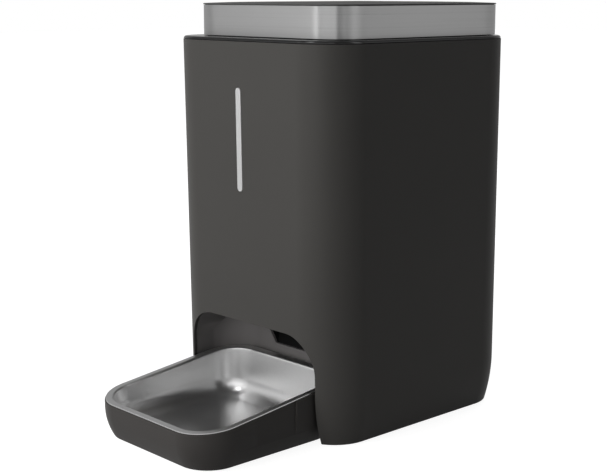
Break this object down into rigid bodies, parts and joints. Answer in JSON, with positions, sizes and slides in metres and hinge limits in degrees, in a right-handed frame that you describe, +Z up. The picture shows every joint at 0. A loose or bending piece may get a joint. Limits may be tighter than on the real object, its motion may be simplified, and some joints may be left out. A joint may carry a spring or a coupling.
{
  "type": "pet feeder",
  "caption": "Automatic dry-food feeder: a tower tank with a lift-off lid over a pull-out tray that holds a steel bowl, with a motor-driven portioning rotor inside.",
  "frame": {"origin": "centre of the outline at the floor, under the feeder", "axes": "+Z up, -Y towards the bowl and the pet, +X to the right of a person who faces the feeder's front"},
  "size_m": [0.1778, 0.2904, 0.3084],
  "materials": {
    "outer_shell": "fine satin grain",
    "shoulder_ring": "gloss",
    "light_strip": "frosted",
    "light_board": "solder mask",
    "niche_liner": "matte",
    "chute": "matte",
    "hopper": "smooth",
    "outlet_baffle": "smooth",
    "dispenser_deck": "matte",
    "shaft_bush": "matte",
    "gear_motor": "plated",
    "motor_bracket": "zinc plated",
    "base_plate": "matte",
    "main_board": "solder mask",
    "dc_inlet": "satin",
    "foot": "matte",
    "base_screw": "zinc plated",
    "lid_band": "brushed along the band",
    "lid_cap": "satin",
    "lid_liner": "matte",
    "lid_seal": "matte",
    "desiccant_box": "matte",
    "desiccant_grille": "matte",
    "tray": "fine satin grain",
    "tray_pad": "matte",
    "steel_bowl": "satin polished",
    "food_rotor": "matte",
    "rotor_shaft": "bright",
    "drive_gear": "smooth",
    "motor_pinion": "smooth",
    "pairing_button": "matte",
    "battery_door": "matte"
  },
  "bodies": {
    "tower": {"outer_shell": "outer_shell", "shoulder_ring": "shoulder_ring", "light_strip": "light_strip", "light_board": "light_board", "niche_liner": "niche_liner", "chute": "chute", "hopper": "hopper", "outlet_baffle": "outlet_baffle", "dispenser_deck": "dispenser_deck", "shaft_bush": "shaft_bush", "gear_motor": "gear_motor", "motor_bracket": "motor_bracket", "base_plate": "base_plate", "main_board": "main_board", "dc_inlet": "dc_inlet", "foot_1": "foot", "foot_2": "foot", "foot_3": "foot", "foot_4": "foot", "base_screw_1": "base_screw", "base_screw_2": "base_screw", "base_screw_3": "base_screw", "base_screw_4": "base_screw"},
    "lid": {"lid_band": "lid_band", "lid_cap": "lid_cap", "lid_liner": "lid_liner", "lid_seal": "lid_seal", "desiccant_box": "desiccant_box"},
    "desiccant_cover": {"desiccant_grille": "desiccant_grille"},
    "tray_holder": {"tray": "tray", "tray_pad_front": "tray_pad", "tray_pad_back": "tray_pad"},
    "bowl": {"steel_bowl": "steel_bowl"},
    "rotor": {"food_rotor": "food_rotor", "rotor_shaft": "rotor_shaft", "drive_gear": "drive_gear"},
    "pinion": {"motor_pinion": "motor_pinion"},
    "button": {"pairing_button": "pairing_button"},
    "door": {"battery_door": "battery_door"}
  },
  "joints": [
    {"name": "lid_lift", "type": "slide", "parent": "tower", "child": "lid", "axis": [0, 0, 1], "range_m": [0, 0.06]},
    {"name": "desiccant_cover_release", "type": "slide", "parent": "lid", "child": "desiccant_cover", "axis": [0, 0, -1], "range_m": [0, 0.012]},
    {"name": "tray_pull", "type": "slide", "parent": "tower", "child": "tray_holder", "axis": [0, -1, 0], "range_m": [0, 0.06]},
    {"name": "bowl_lift", "type": "slide", "parent": "tray_holder", "child": "bowl", "axis": [0, 0, 1], "range_m": [0, 0.015]},
    {"name": "rotor_spin", "type": "hinge", "parent": "tower", "child": "rotor", "pos_m": [0, 0.05875, 0.1], "axis": [0, 0, 1], "continuous": true},
    {"name": "pinion_spin", "type": "hinge", "parent": "tower", "child": "pinion", "pos_m": [0, 0.08275, 0.087], "axis": [0, 0, 1], "continuous": true},
    {"name": "button_press", "type": "slide", "parent": "tower", "child": "button", "axis": [0, -1, 0], "range_m": [0, 0.0008], "stiffness_N_per_m": 600, "springref_m": -0.001},
    {"name": "battery_door_release", "type": "slide", "parent": "tower", "child": "door", "axis": [0, 0, -1], "range_m": [0, 0.012]}
  ],
  "couplings": [
    {"joint": "pinion_spin", "follows": "rotor_spin", "ratio": -3}
  ]
}
